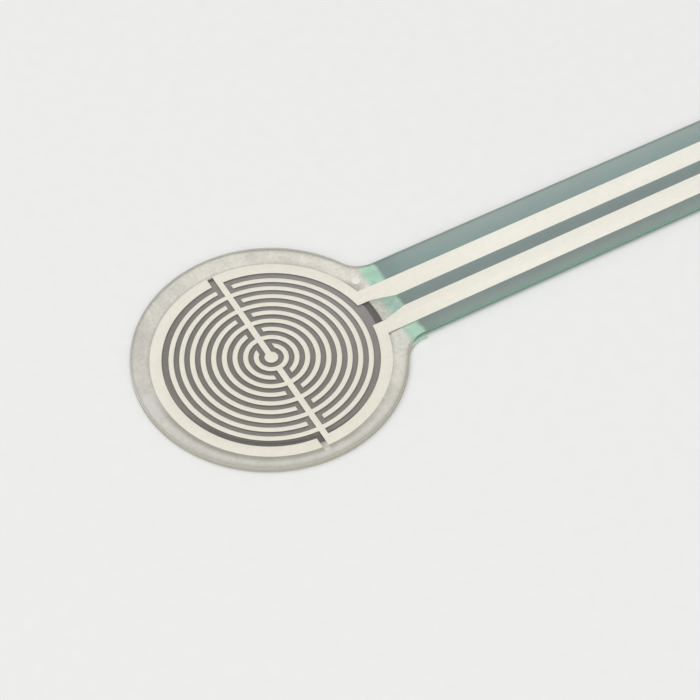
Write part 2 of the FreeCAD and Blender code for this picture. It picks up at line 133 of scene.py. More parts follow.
def new_finish(name):
    """An empty material, its tree, and the place on the part in millimetres as a vector and as x, y, z."""
    material = bpy.data.materials.new(name)
    material.use_nodes = True
    tree = material.node_tree
    tree.nodes.clear()
    place = put(tree, "ShaderNodeTexCoord").outputs["Object"]
    scaled = put(tree, "ShaderNodeVectorMath", {0: place, "Scale": 1000.0}, operation="SCALE").outputs[0]
    parts = put(tree, "ShaderNodeSeparateXYZ", {0: scaled}).outputs
    return material, tree, scaled, parts


def fade(tree, value, low, high):
    """0 below low and 1 above high, with a soft change between them; turned round where high is lower."""
    return put(
        tree, "ShaderNodeMapRange",
        {"Value": value, "From Min": low, "From Max": high, "To Min": 0.0, "To Max": 1.0},
        interpolation_type="SMOOTHSTEP", clamp=True,
    ).outputs[0]


def grain(tree, place, per_mm, detail, stretch=(1.0, 1.0, 1.0), rough=0.5):
    """Fine noise with so many lumps to the millimetre, drawn out where stretch is under 1."""
    mapped = put(tree, "ShaderNodeMapping", {"Vector": place, "Scale": stretch}).outputs[0]
    return put(
        tree, "ShaderNodeTexNoise",
        {"Vector": mapped, "Scale": per_mm, "Detail": detail, "Roughness": rough},
    ).outputs[0]


def mix_tones(tree, factor, first, second):
    """One colour turning into another."""
    return put(tree, "ShaderNodeMix", {0: factor, 6: first, 7: second}, data_type="RGBA").outputs[2]


def tint(tree, tone, mask, share, colour):
    """A tone drawn by a share towards a colour as it is seen on a screen, where the mask holds."""
    return mix_tones(tree, sum_of(tree, "MULTIPLY", mask, share), tone, paint_tone(*colour))


def noise_level(tree, noise, low, high, reach=0.2):
    """Noise turned into a level between low and high, which it meets at reach from its own middle, 0.5."""
    return put(
        tree, "ShaderNodeMapRange",
        {"Value": noise, "From Min": 0.5 - reach, "From Max": 0.5 + reach, "To Min": low, "To Max": high},
        clamp=True,
    ).outputs[0]


def mottle(tree, colour, noise, depth):
    """A colour made lighter and darker by noise, by up to depth of its value."""
    level = sum_of(tree, "MULTIPLY_ADD", noise_level(tree, noise, -1.0, 1.0, 0.25), depth, 1.0)
    if not isinstance(colour, bpy.types.NodeSocket):
        colour = colour[:3]
    return put(tree, "ShaderNodeVectorMath", {0: colour, "Scale": level}, operation="SCALE").outputs[0]


def length_of(tree, dx, dy):
    """The length of a level step."""
    squares = sum_of(tree, "MULTIPLY_ADD", dx, dx, sum_of(tree, "MULTIPLY", dy, dy))
    return sum_of(tree, "SQRT", squares)


def far_from(tree, parts, x, y):
    """How far a point of the part lies from an upright line at x, y."""
    return length_of(tree, sum_of(tree, "SUBTRACT", parts[0], x), sum_of(tree, "SUBTRACT", parts[1], y))


def off_by(tree, value, level):
    """How far a value lies from a level, on either side of it."""
    return sum_of(tree, "ABSOLUTE", sum_of(tree, "SUBTRACT", value, level))


def along_way(tree, parts, way):
    """How far a point of the part lies along a level direction, given as x and y, from the middle."""
    return sum_of(tree, "MULTIPLY_ADD", parts[0], way[0], sum_of(tree, "MULTIPLY", parts[1], way[1]))


def cut_depth(tree, parts, lip=0.0):
    """How far inside the nearest cut edge of the outline a point lies, in millimetres. Below the middle the
    tail's edge stands further out by lip."""
    side = sum_of(tree, "ABSOLUTE", parts[1])
    disc = sum_of(tree, "SUBTRACT", DISC_R, far_from(tree, parts, 0.0, 0.0))

    def beside(half):
        """The depth on a side where the tail's edge lies half from the middle."""
        across = half + NECK_R
        along = sqrt((DISC_R + NECK_R) ** 2 - across ** 2)
        dx = sum_of(tree, "SUBTRACT", parts[0], along)
        dy = sum_of(tree, "SUBTRACT", side, across)
        neck = sum_of(tree, "SUBTRACT", length_of(tree, dx, dy), NECK_R)
        tail = sum_of(tree, "SUBTRACT", half, side)
        at_neck = sum_of(tree, "GREATER_THAN", sum_of(tree, "MULTIPLY", parts[0], across / along), side)
        past_neck = sum_of(tree, "GREATER_THAN", parts[0], along)
        depth = sum_of(tree, "MULTIPLY_ADD", at_neck, sum_of(tree, "SUBTRACT", neck, disc), disc)
        return sum_of(tree, "MULTIPLY_ADD", past_neck, sum_of(tree, "SUBTRACT", tail, depth), depth)

    above = beside(TAIL_HALF)
    if not lip:
        return above
    below = beside(TAIL_HALF + lip)
    upper = sum_of(tree, "GREATER_THAN", parts[1], 0.0)
    return sum_of(tree, "MULTIPLY_ADD", upper, sum_of(tree, "SUBTRACT", above, below), below)


def both(tree, *masks):
    """Where all of the masks hold."""
    held = masks[0]
    for mask in masks[1:]:
        held = sum_of(tree, "MULTIPLY", held, mask)
    return held


def end_opaque(tree, tone, dull, bumps, strength, height, more):
    """Ends a material as an opaque surface, with fine bumps that are so many millimetres high. The shader's
    further inputs are given in more."""
    relief = put(
        tree, "ShaderNodeBump",
        {"Height": bumps, "Strength": strength, "Distance": height * MM},
    ).outputs[0]
    values = {"Base Color": tone, "Roughness": dull, "Normal": relief, **more}
    surface = put(tree, "ShaderNodeBsdfPrincipled", values)
    put(tree, "ShaderNodeOutputMaterial", {"Surface": surface.outputs[0]})


def end_clear(tree, tone, dull, shine, solid):
    """Ends a material as clear film, which shows its tone as far as it is solid."""
    film = put(
        tree, "ShaderNodeBsdfPrincipled",
        {"Base Color": tone, "Roughness": dull, "Specular IOR Level": shine, "IOR": 1.57},
    )
    clear = put(tree, "ShaderNodeBsdfTransparent")
    shader = put(tree, "ShaderNodeMixShader", {0: solid, 1: clear.outputs[0], 2: film.outputs[0]})
    put(tree, "ShaderNodeOutputMaterial", {"Surface": shader.outputs[0]})


def silver_ink():
    """Screen-printed silver: matt cream, with the faint drag marks of the squeegee along the tail."""
    material, tree, place, parts = new_finish("silver_ink")
    along = fade(tree, parts[0], 5.0, 22.0)
    tone = mix_tones(tree, along, paint_tone(230, 226, 212), paint_tone(238, 234, 223))
    dot = fade(tree, far_from(tree, parts, MARK[0], MARK[1] + PRINT_Y), 0.50, 0.30)
    tone = mix_tones(tree, dot, tone, paint_tone(233, 229, 218))
    tone = mottle(tree, tone, grain(tree, place, 1.6, 3.0, (0.12, 1.0, 1.0)), 0.022)
    fine = grain(tree, place, 9.0, 3.0)
    tone = mottle(tree, tone, fine, 0.018)
    end_opaque(tree, tone, noise_level(tree, fine, 0.50, 0.66), fine, 0.35, 0.004, {"Metallic": 0.05})
    return material


def carbon_ink():
    """Printed carbon: dull mid grey and cloudy, lighter towards the neck, with painted light where the
    rings shade it and painted shade at its near edge.
    """
    material, tree, place, parts = new_finish("carbon_ink")
    across = fade(tree, along_way(tree, parts, (1.0, 0.3)), -2.0, 8.5)
    tone = mix_tones(tree, across, paint_tone(120, 116, 110), paint_tone(139, 135, 133))
    # Painted light: the carbon is lightened on its near and far sides, where the rings above shade the
    # gaps.
    lit_gap_fill = fade(tree, sum_of(tree, "ABSOLUTE", along_way(tree, parts, FRONTWARD)), 1.2, 6.5)
    tone = tint(tree, tone, lit_gap_fill, 0.33, (152, 148, 143))
    tone = mottle(tree, tone, grain(tree, place, 0.55, 3.0), 0.05)
    speck = grain(tree, place, 7.0, 4.0, rough=0.7)
    tone = mottle(tree, tone, speck, 0.06)
    # Painted shade: the carbon's near edge is darkened like the shaded gap beside it.
    to_near = along_way(tree, parts, (-0.574, -0.819))
    from_print = far_from(tree, parts, 0.0, PRINT_Y)
    near_gap_shade = both(tree, fade(tree, from_print, 6.72, 6.92), fade(tree, to_near, 4.7, 7.0))
    tone = mix_tones(tree, near_gap_shade, tone, paint_tone(80, 74, 68))
    end_opaque(tree, tone, 0.78, speck, 0.5, 0.005, {"Specular IOR Level": 0.3})
    return material


def coat_start(tree, place, parts):
    """The place along the tail as the cover coat's edge sees it, with the slight waver of that edge."""
    waver = sum_of(tree, "MULTIPLY_ADD", grain(tree, place, 0.85, 1.5), 0.6, -0.30)
    return sum_of(tree, "ADD", parts[0], waver)


def coat_begun(tree, parts, where):
    """1 where the cover coat lies over the adhesive, and 0 before. It starts later at its two edges."""
    lower_edge = sum_of(tree, "MULTIPLY", fade(tree, parts[1], -2.2, -3.2), 0.15)
    late = sum_of(tree, "MULTIPLY_ADD", fade(tree, parts[1], 3.0, 3.5), 0.20, lower_edge)
    return fade(tree, sum_of(tree, "SUBTRACT", where, late), 8.46, 8.92)


def trace_shade(tree, parts):
    """The shade beside the slanted inner edge of the upper trace."""
    slope = (ROOT_HALF - TRACE_IN) / (SLANT_X - ROOT_X)
    below = sum_of(tree, "MULTIPLY_ADD", parts[0], -slope, ROOT_HALF + PRINT_Y + slope * ROOT_X)
    below = sum_of(tree, "SUBTRACT", below, parts[1])
    near = fade(tree, below, 0.45, 0.05)
    along = both(tree, fade(tree, parts[0], 7.6, 8.0), fade(tree, parts[0], 10.3, 9.8))
    return both(tree, near, fade(tree, below, -0.05, 0.0), along)


def mint_tone(tree, place, parts):
    """The cover coat where the white adhesive backs it, deeper between the two traces."""
    outward = fade(tree, off_by(tree, parts[1], PRINT_Y), 0.7, 1.4)
    beside = mix_tones(
        tree, fade(tree, parts[1], 1.0, 2.0), paint_tone(167, 201, 180), paint_tone(166, 205, 184),
    )
    tone = mix_tones(tree, outward, paint_tone(151, 180, 165), beside)
    swing = sum_of(tree, "MULTIPLY_ADD", outward, -0.08, 0.24)
    return mottle(tree, tone, grain(tree, place, 1.9, 4.0), swing)


def crease(tree, parts, spot, turn, length):
    """A short fine crease at a spot, lying at an angle in degrees."""
    dx = sum_of(tree, "SUBTRACT", parts[0], spot[0])
    dy = sum_of(tree, "SUBTRACT", parts[1], spot[1])
    rise = sum_of(tree, "MULTIPLY", dy, cos(radians(turn)))
    across = sum_of(tree, "MULTIPLY_ADD", dx, -sin(radians(turn)), rise)
    reach = far_from(tree, parts, *spot)
    return both(
        tree, fade(tree, sum_of(tree, "ABSOLUTE", across), 0.09, 0.0),
        fade(tree, reach, length / 2, length / 2 - 0.15),
    )


def adhesive_body(tree, place, parts, wisp):
    """The adhesive's own milky tone, unlike in places, with wisps, small grey pores and painted shade along
    two fine creases.
    """
    across = fade(tree, along_way(tree, parts, (1.0, 0.4)), -8.0, 10.0)
    tone = mix_tones(tree, across, paint_tone(200, 197, 187), paint_tone(220, 216, 205))
    below_neck = both(tree, fade(tree, parts[0], 6.9, 7.9), fade(tree, parts[1], 0.0, -2.0))
    tone = tint(tree, tone, below_neck, 0.80, (211, 212, 203))
    far_top = fade(tree, far_from(tree, parts, 0.0, 8.5), 2.4, 0.8)
    tone = tint(tree, tone, far_top, 0.45, (228, 225, 214))
    between = both(
        tree, fade(tree, parts[0], 7.4, 8.0), fade(tree, off_by(tree, parts[1], PRINT_Y), 1.5, 1.1),
    )
    tone = tint(tree, tone, between, 0.60, (178, 180, 169))
    tone = mottle(tree, tone, grain(tree, place, 3.2, 3.0), sum_of(tree, "MULTIPLY", between, 0.14))
    tone = mottle(tree, tone, wisp, 0.16)
    tone = mottle(tree, tone, grain(tree, place, 4.2, 4.0, rough=0.68), 0.15)
    pale = fade(tree, far_from(tree, parts, -8.40, 0.05), 1.45, 0.75)
    tone = tint(tree, tone, pale, 0.60, (214, 209, 210))
    # Painted shade: two fine creases in the adhesive are drawn as dark lines.
    first_fold = crease(tree, parts, (-8.39, 1.21), -12.0, 0.60)
    second_fold = crease(tree, parts, (-8.36, -1.16), -9.0, 0.80)
    fold_shade = sum_of(tree, "MULTIPLY_ADD", second_fold, 1.3, first_fold)
    fold_shade = sum_of(tree, "MULTIPLY", fold_shade, 0.45, clamp=True)
    return mix_tones(tree, fold_shade, tone, paint_tone(160, 157, 150))


def print_edge_shade(tree, parts, from_print, off_notch):
    """How much painted shade the adhesive takes along the print's rim and beside the traces' roots."""
    to_near = along_way(tree, parts, (-0.174, -0.985))
    to_left = along_way(tree, parts, (-0.940, -0.342))
    near_rim_shade = both(
        tree, fade(tree, to_near, -1.5, 4.0), fade(tree, to_left, -7.5, 4.5),
        fade(tree, from_print, 8.52, 8.08), fade(tree, from_print, 7.94, 8.01),
        fade(tree, off_notch, 0.12, 0.28),
    )
    near_rim_shade = sum_of(tree, "MULTIPLY", near_rim_shade, 0.72)
    far_rim_shade = both(tree, fade(tree, from_print, 8.24, 8.03), fade(tree, from_print, 7.94, 8.01))
    beside_root = fade(tree, far_from(tree, parts, 7.65, 2.55), 1.1, 0.3)
    far_share = sum_of(tree, "MULTIPLY_ADD", beside_root, 0.30, 0.32)
    far_rim_shade = sum_of(tree, "MULTIPLY", far_rim_shade, far_share)
    edge_line_shade = sum_of(tree, "MAXIMUM", near_rim_shade, far_rim_shade)
    edge_line_shade = sum_of(tree, "MULTIPLY", edge_line_shade, fade(tree, parts[0], 8.0, 7.6))
    root = both(
        tree, fade(tree, off_by(tree, parts[1], PRINT_Y - TRACE_OUT - 0.02), 0.16, 0.04),
        fade(tree, parts[0], 7.6, 7.8), fade(tree, parts[0], 9.4, 8.4),
    )
    hook = fade(tree, far_from(tree, parts, 7.76, -2.30), 0.26, 0.08)
    return sum_of(tree, "MAXIMUM", sum_of(tree, "MAXIMUM", edge_line_shade, root), hook)


def milky_adhesive():
    """The spacer's milky white adhesive, greyer at its cut edge, with painted shade along the print's
    edges.
    """
    material, tree, place, parts = new_finish("milky_adhesive")
    wisp = grain(tree, place, 0.8, 6.0, (1.0, 0.55, 1.0), 0.62)
    tone = adhesive_body(tree, place, parts, wisp)
    from_print = far_from(tree, parts, 0.0, PRINT_Y)
    cool = both(
        tree, fade(tree, along_way(tree, parts, FRONTWARD), 1.0, 5.0),
        fade(tree, from_print, 8.2, 8.4), fade(tree, from_print, 8.85, 8.55),
    )
    tone = tint(tree, tone, cool, 0.50, (203, 202, 196))
    depth = cut_depth(tree, parts, TONGUE_LIP)
    near_half = fade(tree, along_way(tree, parts, (-0.35, 1.0)), 2.0, -5.0)
    shade = both(tree, near_half, fade(tree, depth, 0.50, 0.05), fade(tree, parts[0], 9.0, 8.4))
    tone = tint(tree, tone, shade, 0.75, (176, 173, 161))

    where = coat_start(tree, place, parts)
    tone = mix_tones(tree, coat_begun(tree, parts, where), tone, mint_tone(tree, place, parts))
    tone = tint(tree, tone, trace_shade(tree, parts), 0.50, (146, 150, 138))
    # Painted shade in the corner between the rim and the upper trace's root, beside the mark.
    root_corner_shade = fade(tree, far_from(tree, parts, 7.78, 2.25), 0.95, 0.15)
    tone = tint(tree, tone, root_corner_shade, 0.50, (146, 144, 132))
    to_far = along_way(tree, parts, (0.616, 0.788))
    dim_edge = both(tree, fade(tree, to_far, 8.3, 8.8), fade(tree, depth, 0.50, 0.0))
    dim_print = both(tree, fade(tree, to_far, 7.5, 8.1), fade(tree, from_print, 8.75, 8.15))
    dim = sum_of(tree, "MULTIPLY_ADD", dim_edge, 0.50, sum_of(tree, "MULTIPLY", dim_print, 0.18))
    tone = mix_tones(tree, dim, tone, paint_tone(164, 161, 149))
    wall = fade(tree, depth, 0.05, 0.015)
    tone = mix_tones(tree, wall, tone, paint_tone(184, 181, 167))
    lip = both(tree, fade(tree, cut_depth(tree, parts), 0.03, -0.03), fade(tree, parts[0], 8.5, 9.0))
    at_edge = fade(tree, depth, 0.10, 0.03)
    lip_tone = mix_tones(tree, at_edge, paint_tone(133, 172, 151), paint_tone(184, 204, 192))
    tone = mix_tones(tree, lip, tone, lip_tone)

    off_notch = off_by(tree, parts[0], -(SPINE_HALF + GUARD_END) / 2)
    # Painted shade along the print's rim, beside the traces' roots and in the corner below the lower one.
    print_shade = print_edge_shade(tree, parts, from_print, off_notch)
    tone = mix_tones(tree, print_shade, tone, paint_tone(138, 136, 122))
    # Painted shade in the notch of the rim between the guard's end and the lower spine.
    notch_shade = both(
        tree, fade(tree, off_notch, 0.26, 0.18), fade(tree, parts[1], -8.30, -7.80),
        fade(tree, parts[1], -7.0, -7.5),
    )
    tone = tint(tree, tone, notch_shade, 0.85, (140, 135, 131))
    end_opaque(tree, tone, 0.62, wisp, 0.4, 0.010, {"Specular IOR Level": 0.35})
    return material


def cover_coat():
    """The teal cover coat under the tail. It looks mint where the white adhesive backs it, grey-green over
    the bare film, and bright green along the cut edge, where the film pipes the light out."""
    material, tree, place, parts = new_finish("cover_coat")
    across = put(
        tree, "ShaderNodeMapRange",
        {"Value": parts[1], "From Min": -TAIL_HALF, "From Max": TAIL_HALF},
    ).outputs[0]
    ramp = put(tree, "ShaderNodeValToRGB", {"Fac": across})
    stops = [
        (0.000, (106, 152, 134)),
        (0.018, (119, 152, 140)),
        (0.045, (126, 146, 139)),
        (0.085, (128, 140, 135)),
        (0.160, (117, 131, 128)),
        (0.450, (115, 130, 128)),
        (0.760, (124, 147, 143)),
        (0.900, (139, 156, 152)),
        (1.000, (148, 161, 157)),
    ]
    marks = ramp.color_ramp.elements
    while len(marks) < len(stops):
        marks.new(0.5)
    for mark, (spot, colour) in zip(marks, stops):
        mark.position = spot
        mark.color = paint_tone(*colour)
    close = both(tree, fade(tree, parts[0], 16.0, 10.0), fade(tree, parts[1], 0.5, 2.0))
    tone = tint(tree, ramp.outputs[0], close, 0.62, (119, 141, 138))
    tone = tint(tree, tone, fade(tree, parts[0], 11.8, 10.4), 0.30, (104, 122, 110))
    where = coat_start(tree, place, parts)
    tone = mix_tones(tree, fade(tree, where, 10.10, 9.76), tone, mint_tone(tree, place, parts))
    tone = mix_tones(tree, coat_begun(tree, parts, where), paint_tone(215, 213, 202), tone)
    tone = tint(tree, tone, trace_shade(tree, parts), 0.40, (122, 142, 128))
    # Painted shade along the lower trace's outer edge.
    beside = off_by(tree, parts[1], PRINT_Y - TRACE_OUT - 0.03)
    edge_line_shade = both(tree, fade(tree, beside, 0.12, 0.04), fade(tree, parts[0], 10.6, 9.6))
    tone = tint(tree, tone, edge_line_shade, 0.75, (132, 146, 132))
    tone = mottle(tree, tone, grain(tree, place, 0.5, 3.0, (0.35, 1.0, 1.0)), 0.03)
    speck = grain(tree, place, 8.0, 3.0)
    tone = mottle(tree, tone, speck, 0.025)
    end_opaque(tree, tone, 0.55, speck, 0.3, 0.004, {"Specular IOR Level": 0.35})
    return material


def face_film_finish():
    """Clear film with a faint haze, milky on its cut edge round the disc and green along the tail's, with
    painted shade and light on the near side.
    """
    material, tree, place, parts = new_finish("face_film_finish")
    depth = cut_depth(tree, parts)
    on_disc = fade(tree, parts[0], 9.2, 8.6)
    on_tail = fade(tree, parts[0], 8.6, 9.2)
    coated = fade(tree, parts[0], 40.9, 40.7)
    near_side = fade(tree, parts[1], 1.5, -1.5)
    wall = fade(tree, depth, 0.05, 0.012)
    end_wall = fade(tree, parts[0], TAIL_X - 0.06, TAIL_X - 0.012)
    band = both(tree, on_disc, fade(tree, depth, 0.24, 0.0))
    haze = noise_level(tree, grain(tree, place, 2.5, 4.0), 0.015, 0.04)
    haze = sum_of(tree, "MULTIPLY_ADD", sum_of(tree, "SUBTRACT", 1.0, coated), 0.06, haze)
    shine = put(tree, "ShaderNodeLayerWeight", {"Blend": 0.12}).outputs["Fresnel"]
    cover = put(tree, "ShaderNodeMapRange", {"Value": near_side, "To Min": 0.50, "To Max": 0.40}).outputs[0]
    solid = sum_of(tree, "MULTIPLY_ADD", band, cover, haze)
    solid = sum_of(tree, "MULTIPLY_ADD", both(tree, wall, on_disc), 0.22, solid)
    solid = sum_of(tree, "MULTIPLY_ADD", both(tree, wall, on_tail, coated), 0.7, solid)
    solid = sum_of(tree, "MULTIPLY_ADD", sum_of(tree, "MAXIMUM", end_wall, wall), 0.2, solid)
    solid = sum_of(tree, "MULTIPLY_ADD", shine, 0.18, solid, clamp=True)
    # Painted shade makes the disc's rim darker on its near side, and painted light makes the tail's near
    # side green, where light is piped out of its cut edge.
    rim_tone = mix_tones(tree, near_side, paint_tone(206, 206, 200), paint_tone(190, 186, 173))
    tail_tone = mix_tones(tree, near_side, paint_tone(164, 180, 173), paint_tone(108, 156, 138))
    tip = both(tree, on_tail, fade(tree, parts[0], 10.6, 9.9), near_side)
    tail_tone = mix_tones(tree, tip, tail_tone, paint_tone(98, 146, 124))
    tail_tone = mix_tones(tree, both(tree, wall, coated), paint_tone(214, 214, 208), tail_tone)
    tone = mix_tones(tree, on_tail, rim_tone, tail_tone)
    dull = noise_level(tree, grain(tree, place, 5.0, 3.0), 0.28, 0.40)
    end_clear(tree, tone, dull, 0.5, solid)
    return material


def back_film_finish():
    """The back film: nearly clear under the adhesive, with painted shade inside the spacer's opening."""
    material, tree, place, parts = new_finish("back_film_finish")
    open_part = fade(tree, far_from(tree, parts, *OPENING), OPENING_R + 0.30, OPENING_R + 0.20)
    # Painted shade: inside the opening the film is dark, as the gap under the print lies in shade.
    gap_shade = mottle(tree, paint_tone(80, 79, 77), grain(tree, place, 1.2, 3.0), 0.08)
    bleed = fade(tree, far_from(tree, parts, 0.18, 0.24), 7.36, 7.28)
    gap_shade = mix_tones(tree, bleed, gap_shade, paint_tone(128, 124, 120))
    at_neck = fade(tree, parts[0], 8.6, 9.1)
    edge_tone = mix_tones(tree, at_neck, paint_tone(186, 183, 170), paint_tone(202, 213, 205))
    tone = mix_tones(tree, open_part, edge_tone, gap_shade)
    haze = noise_level(tree, grain(tree, place, 2.5, 4.0), 0.16, 0.24)
    wall = fade(tree, cut_depth(tree, parts, TONGUE_LIP), 0.05, 0.012)
    solid = sum_of(tree, "MAXIMUM", sum_of(tree, "MULTIPLY_ADD", wall, 0.55, haze), open_part)
    end_clear(tree, tone, 0.42, 0.35, solid)
    return material


def tinned_plate():
    """Tin-plated sheet: bright grey metal with fine rolling marks along the strip and some dull patches."""
    material, tree, place, parts = new_finish("tinned_plate")
    rolled = grain(tree, place, 16.0, 3.0, (0.05, 1.0, 1.0))
    patch = grain(tree, place, 1.4, 4.0)
    bright = noise_level(tree, patch, 0.0, 1.0)
    tone = mix_tones(tree, bright, paint_tone(196, 195, 190), paint_tone(221, 220, 216))
    tone = mottle(tree, tone, rolled, 0.04)
    dull = sum_of(tree, "MULTIPLY_ADD", rolled, 0.22, noise_level(tree, patch, 0.14, 0.26))
    end_opaque(tree, tone, dull, rolled, 0.4, 0.006, {"Metallic": 1.0})
    return material


def arc(middle, radius, start, end, step):
    """Points along an arc, both ends among them, from one angle to another in degrees."""
    count = max(2, ceil(abs(end - start) / step))
    turns = [radians(start + (end - start) * number / count) for number in range(count + 1)]
    return [(middle[0] + radius * cos(turn), middle[1] + radius * sin(turn)) for turn in turns]


def film_outline(end, inset=0.0, corner=0.0, lip=0.0):
    """The cut outline of a layer that reaches to x = end: disc, concave fillets and tail, all drawn in by
    an inset. The tail's part is wider by lip on its lower side, and corner rounds its two corners."""
    radius, fillet = DISC_R - inset, NECK_R + inset
    high, low = TAIL_HALF - inset, TAIL_HALF + lip - inset

    def fillet_middle(half):
        """The fillet's middle beside an edge that lies half from the middle line, and its direction."""
        across = half + fillet
        along = sqrt((radius + fillet) ** 2 - across ** 2)
        return along, across, degrees(atan2(across, along))

    over_x, over_y, start = fillet_middle(high)
    under_x, under_y, finish = fillet_middle(low)
    points = arc((0, 0), radius, start, 360 - finish, ARC_STEP)
    points += arc((under_x, -under_y), fillet, 180 - finish, 90, 5)[1:]
    stop = end - inset
    points += arc((stop - corner, -low + corner), corner, -90, 0, 15) if corner else [(stop, -low)]
    points += arc((stop - corner, high - corner), corner, 0, 90, 15) if corner else [(stop, high)]
    points += arc((over_x, over_y), fillet, 270, 180 + start, 5)[:-1]
    return points


def cut_layer(name, outlines, heights, soft, material):
    """A flat layer between two heights, soft-edged: the first outline with the others cut out of it."""
    low, high = heights
    shape = bpy.data.curves.new(name, "CURVE")
    shape.dimensions = "2D"
    shape.fill_mode = "BOTH"
    shape.extrude = ((high - low) / 2 - soft) * MM
    shape.bevel_depth = soft * MM
    shape.bevel_resolution = 2
    shape.offset = -soft * MM
    for points in outlines:
        line = shape.splines.new("POLY")
        line.points.add(len(points) - 1)
        for spot, (x, y) in zip(line.points, points):
            spot.co = (x * MM, y * MM, 0, 1)
        line.use_cyclic_u = True
    carrier = bpy.data.objects.new(name, shape)
    bpy.context.scene.collection.objects.link(carrier)
    return plain_mesh(name, carrier, material, (low + high) / 2 * MM)


def plain_mesh(name, carrier, material, lift=0.0):
    """The evaluated shape of an object, lifted, as a plain mesh object at the origin. The object itself
    goes."""
    graph = bpy.context.evaluated_depsgraph_get()
    graph.update()
    mesh = bpy.data.meshes.new_from_object(carrier.evaluated_get(graph), depsgraph=graph)
    old = carrier.data
    bpy.data.objects.remove(carrier)
    if isinstance(old, bpy.types.Curve):
        bpy.data.curves.remove(old)
    mesh.name = name
    if lift:
        mesh.transform(Matrix.Translation((0, 0, lift)))
    tidy = bmesh.new()
    tidy.from_mesh(mesh)
    bmesh.ops.remove_doubles(tidy, verts=tidy.verts, dist=2e-7)
    bmesh.ops.dissolve_degenerate(tidy, edges=tidy.edges, dist=1e-7)
    bmesh.ops.recalc_face_normals(tidy, faces=tidy.faces)
    tidy.to_mesh(mesh)
    tidy.free()
    mesh.shade_smooth()
    mesh.set_sharp_from_angle(angle=radians(40))
    piece = bpy.data.objects.new(name, mesh)
    bpy.context.scene.collection.objects.link(piece)
    mesh.materials.clear()
    mesh.materials.append(material)
    return piece


def settle(piece, slot, *nodes):
    """The piece rides on the part and stands for the CAD nodes it covers. The slot is not used."""
    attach(piece, "root")
    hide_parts(*nodes)


def trunk_outline(side):
    """The feed of one electrode as one outline: spine, rim quarter and trace, upwards where side is 1."""
    far_in = sqrt(RIM_IN ** 2 - SPINE_HALF ** 2)
    far_out = sqrt(RIM_OUT ** 2 - SPINE_HALF ** 2)
    start_out = degrees(atan2(far_out, -SPINE_HALF))
    stop_out = degrees(asin(TRACE_OUT / RIM_OUT))
    start_in = degrees(asin(ROOT_HALF / RIM_IN))
    stop_in = degrees(atan2(far_in, SPINE_HALF))
    points = arc((0, 0), RIM_OUT, start_out, stop_out, ARC_STEP)
    points += [(TRACE_X, TRACE_OUT), (TRACE_X, TRACE_IN), (SLANT_X, TRACE_IN), (ROOT_X, ROOT_HALF)]
    points += arc((0, 0), RIM_IN, start_in, stop_in, ARC_STEP)
    if side > 0:
        meet = degrees(acos(SPINE_HALF / DOT_R))
        points += arc((0, 0), DOT_R, meet, -180 - meet, 10)
    else:
        heel = FIRST_FINGER + FINGER_W / 2
        points += [(SPINE_HALF, heel), (-SPINE_HALF, heel)]
    return [(x, side * y + PRINT_Y) for x, y in points]


def guard_outline():
    """The left half of the rim, cut off straight beside the two spines."""
    turn_in = degrees(acos(-GUARD_END / RIM_IN))
    turn_out = degrees(acos(-GUARD_END / RIM_OUT))
    points = arc((0, 0), RIM_OUT, turn_out, 360 - turn_out, ARC_STEP)
    points += arc((0, 0), RIM_IN, 360 - turn_in, turn_in, ARC_STEP)
    return [(x, y + PRINT_Y) for x, y in points]


def slot_outlines():
    """The slots for the terminals' prongs, two on each side of each trace."""
    inner = PLATE_EDGE - PLATE_T - SLOT_GAP
    outer = PLATE_EDGE + SLOT_GAP
    slots = []
    for middle_y in (TRACE_MIDDLE + PRINT_Y, -TRACE_MIDDLE + PRINT_Y):
        for number in range(2):
            middle_x = TAIL_X - SLOT_END - SLOT_PITCH * number
            x0, x1 = middle_x - SLOT_HALF, middle_x + SLOT_HALF
            for way in (1, -1):
                y0, y1 = sorted((middle_y + way * inner, middle_y + way * outer))
                slots.append([(x0, y0), (x1, y0), (x1, y1), (x0, y1)])
    return slots


